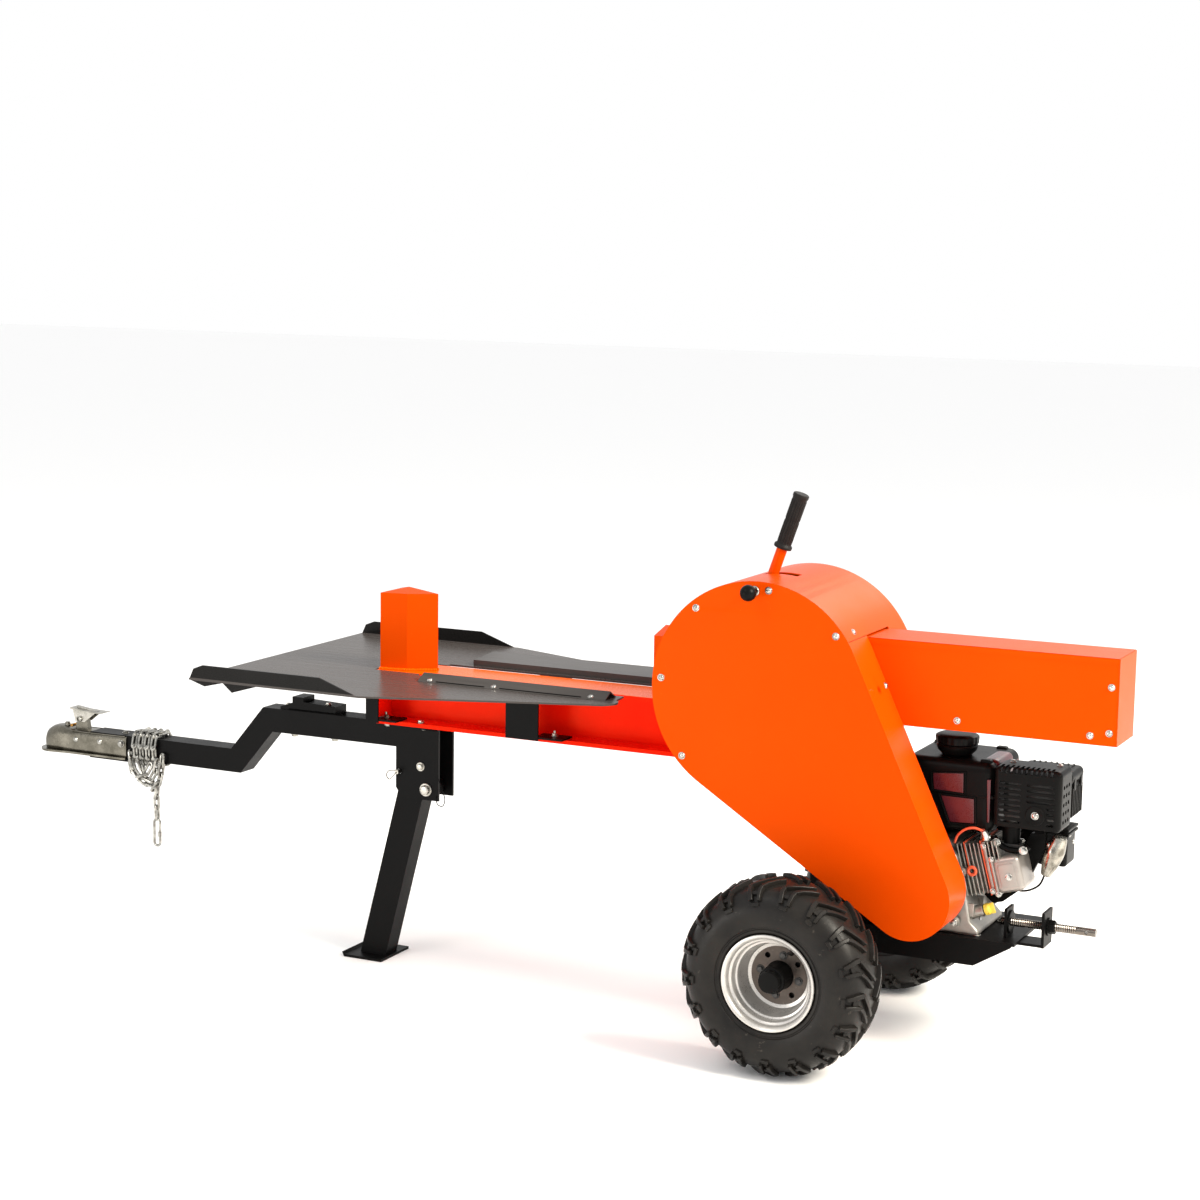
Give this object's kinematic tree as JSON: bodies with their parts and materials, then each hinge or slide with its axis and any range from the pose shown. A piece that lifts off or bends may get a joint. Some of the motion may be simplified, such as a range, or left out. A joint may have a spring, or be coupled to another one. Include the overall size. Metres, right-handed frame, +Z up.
{
  "type": "log splitter",
  "caption": "Kinetic log splitter on a towed two-wheel frame: flywheels drive a rack and push block along a beam against a fixed wedge.",
  "frame": {"origin": "on the ground at the middle of the bounding box, halfway between the nose of the ball coupler and the end of the rack cover", "axes": "+X along the beam from the ball coupler to the engine end, +Y towards the flywheel cover's closed side, away from the belt guard, +Z up"},
  "size_m": [2.68, 0.826, 1.1437],
  "materials": {
    "orange_paint": "gloss",
    "red_paint": "gloss",
    "black_paint": "satin",
    "gunmetal": "semi-gloss",
    "zinc_steel": "zinc plated",
    "rim_paint": "satin silver",
    "cast_iron": "machined",
    "engine_aluminium": "cast",
    "tyre": "matt",
    "belt_rubber": "matt",
    "grip_rubber": "matt",
    "black_plastic": "matt",
    "tank_plastic": "satin",
    "yellow_plastic": "matt"
  },
  "bodies": {
    "base": {"wedge": "orange_paint", "belt_guard": "orange_paint", "flywheel_cover": "orange_paint", "rack_cover": "orange_paint", "rack_cover_end": "orange_paint", "beam": "red_paint", "table_bracket_front_near": "black_paint", "table_bracket_front_far": "black_paint", "table_bracket_rear_near": "black_paint", "table_bracket_rear_far": "black_paint", "tongue": "black_paint", "tongue_saddle": "black_paint", "leg_bracket": "black_paint", "axle": "black_paint", "frame_post": "black_paint", "engine_base": "black_paint", "lever_bracket": "black_paint", "muffler_guard": "black_paint", "log_table": "gunmetal", "log_guide_near": "gunmetal", "log_guide_far": "gunmetal", "coupler": "zinc_steel", "safety_chain": "zinc_steel", "return_spring": "zinc_steel", "pillow_bearing_near": "cast_iron", "pillow_bearing_far": "cast_iron", "muffler": "cast_iron", "engine_block": "engine_aluminium", "cylinder": "engine_aluminium", "valve_cover": "engine_aluminium", "carburettor": "engine_aluminium", "drive_belt": "belt_rubber", "air_cleaner": "black_plastic", "fuel_tank": "tank_plastic", "blower_housing": "tank_plastic"},
    "wheel_near": {"tyre_near": "tyre", "rim_near": "rim_paint"},
    "wheel_far": {"tyre_far": "tyre", "rim_far": "rim_paint"},
    "flywheels": {"pinion_shaft": "zinc_steel", "flywheel_near": "cast_iron", "flywheel_far": "cast_iron", "driven_pulley": "cast_iron"},
    "clutch": {"clutch_pulley": "cast_iron"},
    "ram": {"push_block": "orange_paint", "rack": "zinc_steel"},
    "lever": {"control_lever": "orange_paint", "lever_grip": "grip_rubber"},
    "roller": {"press_roller": "zinc_steel"},
    "knob": {"lock_knob": "black_plastic"},
    "leg": {"jack_leg": "black_paint"},
    "leg_pin": {"leg_lock_pin": "zinc_steel"},
    "latch": {"coupler_latch": "zinc_steel"},
    "chain_end": {"chain_tail": "zinc_steel"},
    "filler_cap": {"fuel_cap": "black_plastic"},
    "dipstick": {"oil_dipstick": "yellow_plastic"},
    "starter": {"starter_handle": "black_plastic"},
    "throttle": {"throttle_lever": "zinc_steel"},
    "switch": {"engine_switch": "black_plastic"},
    "adjuster": {"tension_screw": "zinc_steel"}
  },
  "joints": [
    {"name": "wheel_near_spin", "type": "hinge", "parent": "base", "child": "wheel_near", "pos_m": [0.75, -0.33, 0.203], "axis": [0, 1, 0], "continuous": true},
    {"name": "wheel_far_spin", "type": "hinge", "parent": "base", "child": "wheel_far", "pos_m": [0.75, 0.33, 0.203], "axis": [0, 1, 0], "continuous": true},
    {"name": "flywheel_spin", "type": "hinge", "parent": "base", "child": "flywheels", "pos_m": [0.6177, 0, 0.736], "axis": [0, 1, 0], "continuous": true},
    {"name": "clutch_spin", "type": "hinge", "parent": "base", "child": "clutch", "pos_m": [0.957, 0, 0.35], "axis": [0, 1, 0], "continuous": true},
    {"name": "ram_slide", "type": "slide", "parent": "base", "child": "ram", "axis": [-1, 0, 0], "range_m": [0, 0.53], "stiffness_N_per_m": 60, "springref_m": -0.3},
    {"name": "lever_pull", "type": "hinge", "parent": "base", "child": "lever", "pos_m": [0.554, 0, 0.855], "axis": [0, 1, 0], "range_deg": [0, 15], "stiffness_Nm_per_rad": 20, "springref_deg": -11.46},
    {"name": "roller_spin", "type": "hinge", "parent": "lever", "child": "roller", "pos_m": [0.599, 0, 0.822], "axis": [0, 1, 0], "continuous": true},
    {"name": "knob_pull", "type": "slide", "parent": "base", "child": "knob", "axis": [0, -1, 0], "range_m": [0, 0.015], "stiffness_N_per_m": 300, "springref_m": -0.01},
    {"name": "leg_fold", "type": "hinge", "parent": "base", "child": "leg", "pos_m": [-0.237, 0, 0.412], "axis": [0, -1, 0], "range_deg": [0, 105]},
    {"name": "leg_pin_pull", "type": "slide", "parent": "base", "child": "leg_pin", "axis": [0, 1, 0], "range_m": [0, 0.08]},
    {"name": "latch_lift", "type": "hinge", "parent": "base", "child": "latch", "pos_m": [-1.222, 0, 0.4745], "axis": [0, -1, 0], "range_deg": [0, 60]},
    {"name": "chain_swing", "type": "hinge", "parent": "base", "child": "chain_end", "pos_m": [-0.985, -0.029, 0.323], "axis": [0, 1, 0], "range_deg": [-45, 45]},
    {"name": "fuel_cap_turn", "type": "hinge", "parent": "base", "child": "filler_cap", "pos_m": [0.982, 0.045, 0.6325], "axis": [0, 0, 1], "range_deg": [0, 90]},
    {"name": "dipstick_turn", "type": "hinge", "parent": "base", "child": "dipstick", "pos_m": [1.0745, -0.02, 0.3046], "axis": [0.9383, 0, 0.3457], "range_deg": [0, 360]},
    {"name": "starter_pull", "type": "slide", "parent": "base", "child": "starter", "axis": [-0.4997, 0.2498, 0.8294], "range_m": [0, 0.6], "stiffness_N_per_m": 15, "springref_m": -0.2},
    {"name": "throttle_swing", "type": "hinge", "parent": "base", "child": "throttle", "pos_m": [1.105, 0.1745, 0.43], "axis": [0, 1, 0], "range_deg": [0, 45]},
    {"name": "switch_turn", "type": "hinge", "parent": "base", "child": "switch", "pos_m": [1.077, 0.1725, 0.416], "axis": [0, 1, 0], "range_deg": [0, 45]},
    {"name": "adjuster_turn", "type": "hinge", "parent": "base", "child": "adjuster", "pos_m": [1.2, 0, 0.281], "axis": [1, 0, 0], "continuous": true}
  ],
  "couplings": [
    {"joint": "clutch_spin", "follows": "flywheel_spin", "ratio": 4.2414}
  ]
}
